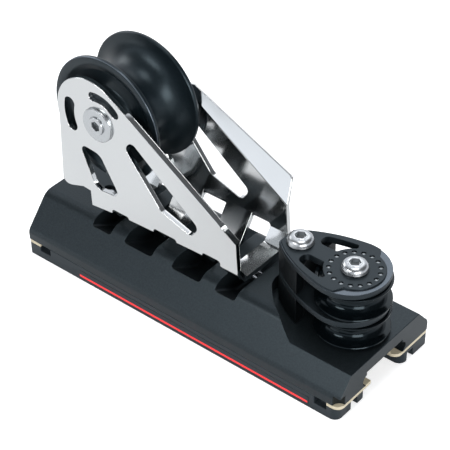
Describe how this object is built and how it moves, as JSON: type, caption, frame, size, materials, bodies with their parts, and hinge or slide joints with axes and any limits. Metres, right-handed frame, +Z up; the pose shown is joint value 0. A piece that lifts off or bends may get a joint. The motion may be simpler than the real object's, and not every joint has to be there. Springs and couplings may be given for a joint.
{
  "type": "traveller car",
  "caption": "Ball-bearing lead car for a sail track, with a rocking stainless sheave frame carrying one large sheave and a fixed stacked pair of control-line sheaves at one end.",
  "frame": {"origin": "centre of the car's underside, in the plane of the rails' feet", "axes": "+X along the track towards the control-line block, +Y to the left, +Z up from the deck"},
  "size_m": [0.2, 0.0714, 0.1243],
  "materials": {
    "body": "black hard-anodised aluminium, satin",
    "rail": "black moulded plastic",
    "guide": "pale acetal",
    "stripe": "red inlay",
    "balls": "dark torlon-type balls",
    "pale_balls": "pale grey acetal balls",
    "polished": "polished stainless sheet",
    "steel": "stainless fasteners and pins",
    "sheave": "black anodised aluminium, satin",
    "control_sheave": "glossy black sheave",
    "plate": "dark grey anodised aluminium"
  },
  "bodies": {
    "car": {"car_body": "body", "ball_guide_left": "guide", "ball_guide_right": "guide", "rail_left": "rail", "rail_right": "rail", "stripe_left": "stripe", "stripe_right": "stripe", "track_balls_left": "balls", "track_balls_right": "balls", "rail_screws": "steel", "hinge_pin": "steel", "pin_lock_screw": "steel", "base_washer": "plate", "lower_spacer": "plate", "middle_plate": "plate", "upper_spacer": "plate", "top_plate": "plate", "control_balls": "pale_balls", "centre_sleeve": "steel", "centre_bolt": "steel", "post_bolt": "steel"},
    "frame": {"sheave_frame": "polished", "bearing_ring": "steel", "bearing_rollers": "steel", "axle_bush_left": "steel", "axle_bush_right": "steel", "side_washer_left": "rail", "side_washer_right": "rail", "axle_bolt": "steel", "axle_nut": "steel"},
    "main_sheave": {"main_sheave": "sheave"},
    "lower_control_sheave": {"lower_control_sheave": "control_sheave"},
    "upper_control_sheave": {"upper_control_sheave": "control_sheave"}
  },
  "joints": [
    {"name": "frame_rock", "type": "hinge", "parent": "car", "child": "frame", "pos_m": [0, 0, 0.025], "axis": [1, 0, 0], "range_deg": [-20, 20]},
    {"name": "main_sheave_turn", "type": "hinge", "parent": "frame", "child": "main_sheave", "pos_m": [-0.0586, 0, 0.0908], "axis": [0, 1, 0], "continuous": true},
    {"name": "lower_control_sheave_turn", "type": "hinge", "parent": "car", "child": "lower_control_sheave", "pos_m": [0.0803, 0, 0.0324], "axis": [0, 0, 1], "continuous": true},
    {"name": "upper_control_sheave_turn", "type": "hinge", "parent": "car", "child": "upper_control_sheave", "pos_m": [0.0803, 0, 0.0494], "axis": [0, 0, 1], "continuous": true}
  ]
}
